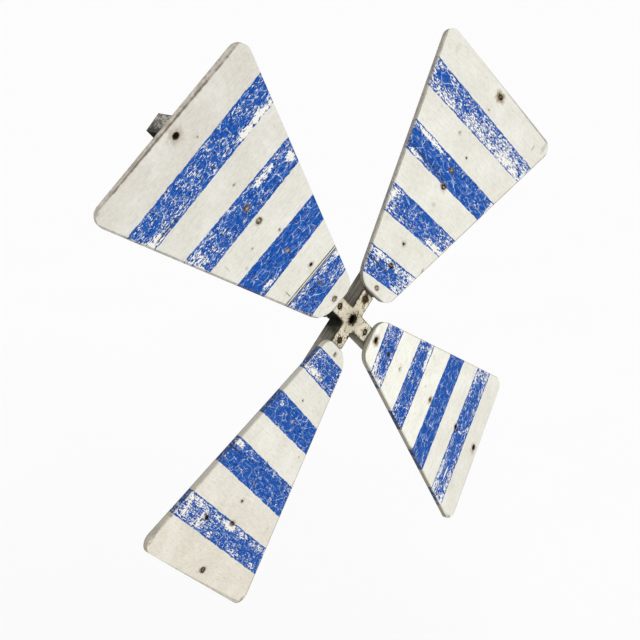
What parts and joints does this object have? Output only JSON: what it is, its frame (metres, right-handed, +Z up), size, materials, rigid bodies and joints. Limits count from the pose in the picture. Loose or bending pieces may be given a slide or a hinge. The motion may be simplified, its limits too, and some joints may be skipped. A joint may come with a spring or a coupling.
{
  "type": "wind spinner",
  "caption": "Weathered wooden wind spinner: striped tapered blades pitched on two crossed battens, turning on a fixed axle behind a cross-shaped hub plate.",
  "frame": {"origin": "on the rotor's axis, at the back face of the mounting strap", "axes": "+Z up, the rotor turns about Y, and its painted front faces -Y"},
  "size_m": [0.7683, 0.108, 0.7638],
  "materials": {
    "blade_paint": "hand-painted off-white with crackled blue stripes, weathered",
    "batten_wood": "bare softwood weathered grey",
    "plate_paint": "cream paint speckled with rust",
    "screw_steel": "rusted",
    "bare_steel": "dull zinc with light rust",
    "bush_bronze": "dull bronze"
  },
  "bodies": {
    "mounting": {"mounting_strap": "bare_steel", "boss": "bare_steel", "set_screw": "screw_steel", "axle": "bare_steel", "thrust_washer": "bush_bronze", "keeper_washer": "bare_steel", "keeper_screw": "bare_steel"},
    "rotor": {"batten_front": "batten_wood", "batten_rear": "batten_wood", "hub_plate": "plate_paint", "rear_strap": "bare_steel", "bush": "bush_bronze", "blade_1_board_1": "blade_paint", "blade_1_board_2": "blade_paint", "blade_1_board_3": "blade_paint", "blade_2_board_1": "blade_paint", "blade_2_board_2": "blade_paint", "blade_2_board_3": "blade_paint", "blade_3_board_1": "blade_paint", "blade_3_board_2": "blade_paint", "blade_3_board_3": "blade_paint", "blade_4_board_1": "blade_paint", "blade_4_board_2": "blade_paint", "blade_4_board_3": "blade_paint", "blade_1_screw_1": "screw_steel", "blade_1_screw_2": "screw_steel", "blade_1_screw_3": "screw_steel", "blade_1_screw_4": "screw_steel", "blade_1_screw_5": "screw_steel", "blade_1_screw_6": "screw_steel", "blade_2_screw_1": "screw_steel", "blade_2_screw_2": "screw_steel", "blade_2_screw_3": "screw_steel", "blade_2_screw_4": "screw_steel", "blade_2_screw_5": "screw_steel", "blade_2_screw_6": "screw_steel", "blade_3_screw_1": "screw_steel", "blade_3_screw_2": "screw_steel", "blade_3_screw_3": "screw_steel", "blade_3_screw_4": "screw_steel", "blade_3_screw_5": "screw_steel", "blade_3_screw_6": "screw_steel", "blade_4_screw_1": "screw_steel", "blade_4_screw_2": "screw_steel", "blade_4_screw_3": "screw_steel", "blade_4_screw_4": "screw_steel", "blade_4_screw_5": "screw_steel", "blade_4_screw_6": "screw_steel", "plate_screw_1": "screw_steel", "plate_screw_2": "screw_steel", "plate_screw_3": "screw_steel", "plate_screw_4": "screw_steel", "rear_strap_screw_1": "screw_steel", "rear_strap_screw_2": "screw_steel"}
  },
  "joints": [
    {"name": "rotor_spin", "type": "hinge", "parent": "mounting", "child": "rotor", "pos_m": [0, 0, 0], "axis": [0, 1, 0], "continuous": true}
  ]
}
